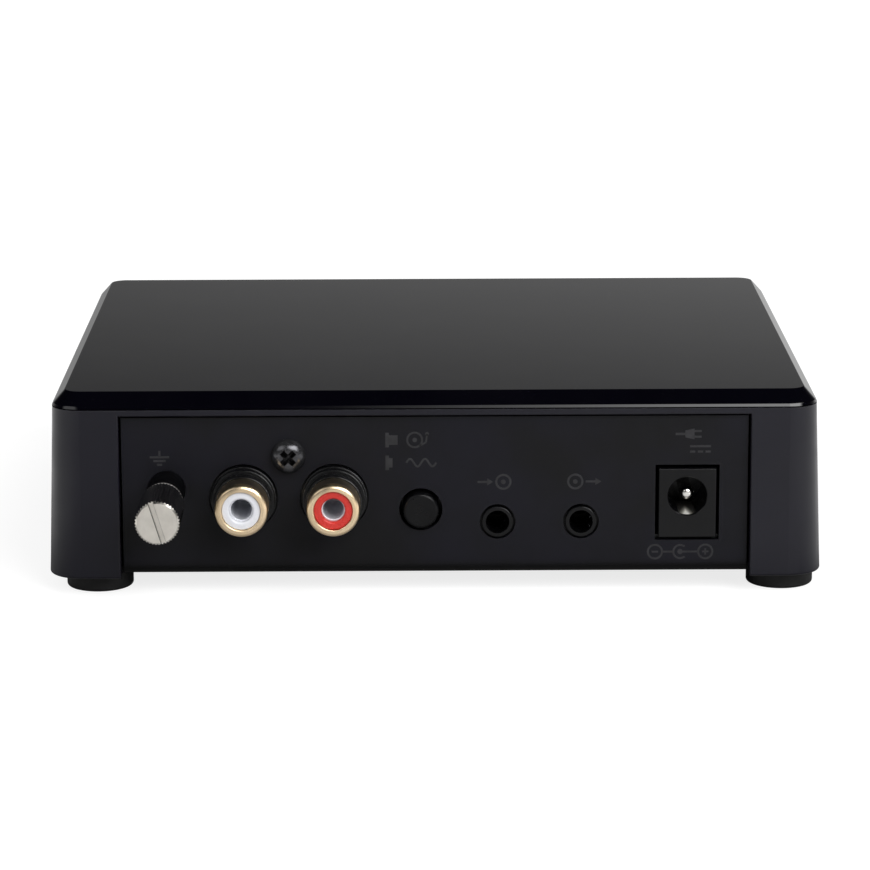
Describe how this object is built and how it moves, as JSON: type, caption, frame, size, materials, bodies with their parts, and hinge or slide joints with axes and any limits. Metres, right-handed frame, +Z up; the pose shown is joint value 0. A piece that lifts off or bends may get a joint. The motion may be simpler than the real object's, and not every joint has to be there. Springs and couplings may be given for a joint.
{
  "type": "phono preamp",
  "caption": "Low black box with a bevelled gloss top; rear panel with gold phono sockets, push button, jack sockets, power socket and ground thumb screw.",
  "frame": {"origin": "on the table, under the middle of the whole object's box, which takes in the ground thumb screw; the case's own middle is 9.75 mm further along +Y", "axes": "-Y points out of the connector panel, +X runs along the panel from the ground terminal to the power socket, +Z is up"},
  "size_m": [0.12, 0.1194, 0.032],
  "materials": {
    "top_gloss": "polished",
    "shell_satin": "satin",
    "panel_black": "fine matte powder coat",
    "adhesive": "matte",
    "foot_rubber": "matte",
    "black_screw": "black oxide, semi-gloss",
    "zinc_steel": "bright zinc",
    "board_laminate": "solder mask",
    "black_plastic": "moulded, semi-matte",
    "button_plastic": "moulded, semi-gloss",
    "gold_plate": "bright gold plate",
    "white_plastic": "moulded",
    "red_plastic": "moulded",
    "tin_contact": "tin plate",
    "nickel": "bright nickel plate",
    "brass_part": "turned",
    "wire_sleeve": "sleeved wire",
    "clear_lens": "clear moulded",
    "can_sleeve": "shrink sleeve",
    "film_box": "cast box",
    "chip_epoxy": "moulded epoxy",
    "resistor_lacquer": "lacquer"
  },
  "bodies": {
    "case": {"shell": "shell_satin", "plate_adhesive": "adhesive", "top_plate": "top_gloss", "chassis": "panel_black", "foot_rear_left": "foot_rubber", "foot_rear_right": "foot_rubber", "foot_front_left": "foot_rubber", "foot_front_right": "foot_rubber", "case_screws": "black_screw", "board_standoffs": "zinc_steel", "circuit_board": "board_laminate", "board_screws": "zinc_steel", "phono_socket_housing": "black_plastic", "phono_socket_shell_left": "gold_plate", "phono_socket_shell_right": "gold_plate", "phono_socket_insulator_left": "white_plastic", "phono_socket_insulator_right": "red_plastic", "phono_socket_contact_left": "tin_contact", "phono_socket_contact_right": "tin_contact", "phono_socket_screw": "black_screw", "switch_body": "black_plastic", "switch_spring": "zinc_steel", "line_in_jack_body": "black_plastic", "line_in_sleeve_contact": "tin_contact", "line_in_tip_contact": "tin_contact", "line_out_jack_body": "black_plastic", "line_out_sleeve_contact": "tin_contact", "line_out_tip_contact": "tin_contact", "power_socket_housing": "black_plastic", "power_socket_pin": "nickel", "power_socket_spring": "nickel", "ground_bush": "black_plastic", "ground_threaded_insert": "brass_part", "ground_insulating_washer": "black_plastic", "ground_solder_tag": "tin_contact", "ground_nut": "brass_part", "ground_wire": "wire_sleeve", "light_guide": "clear_lens", "status_lamp": "clear_lens", "electrolytic_capacitor_1": "can_sleeve", "electrolytic_capacitor_2": "can_sleeve", "electrolytic_capacitor_3": "can_sleeve", "electrolytic_capacitor_4": "can_sleeve", "film_capacitor_1": "film_box", "film_capacitor_2": "film_box", "film_capacitor_3": "film_box", "film_capacitor_4": "film_box", "op_amp_left": "chip_epoxy", "op_amp_right": "chip_epoxy", "resistors": "resistor_lacquer", "voltage_regulator": "chip_epoxy"},
    "push_button": {"button_cap": "button_plastic", "switch_plunger": "black_plastic"},
    "captive_washer": {"ground_captive_washer": "nickel"},
    "thumb_screw": {"ground_thumb_screw": "nickel"}
  },
  "joints": [
    {"name": "button_push", "type": "slide", "parent": "case", "child": "push_button", "axis": [0, 1, 0], "range_m": [0, 0.002], "deforming": ["switch_spring"]},
    {"name": "ground_washer_travel", "type": "slide", "parent": "case", "child": "captive_washer", "axis": [0, -1, 0], "range_m": [0, 0.0025]},
    {"name": "ground_screw_turn", "type": "hinge", "parent": "captive_washer", "child": "thumb_screw", "pos_m": [-0.0414, -0.04745, 0.01675], "axis": [0, -1, 0], "range_deg": [0, 1800]}
  ],
  "couplings": [
    {"joint": "ground_screw_turn", "follows": "ground_washer_travel", "rad_per_m": 12566}
  ]
}
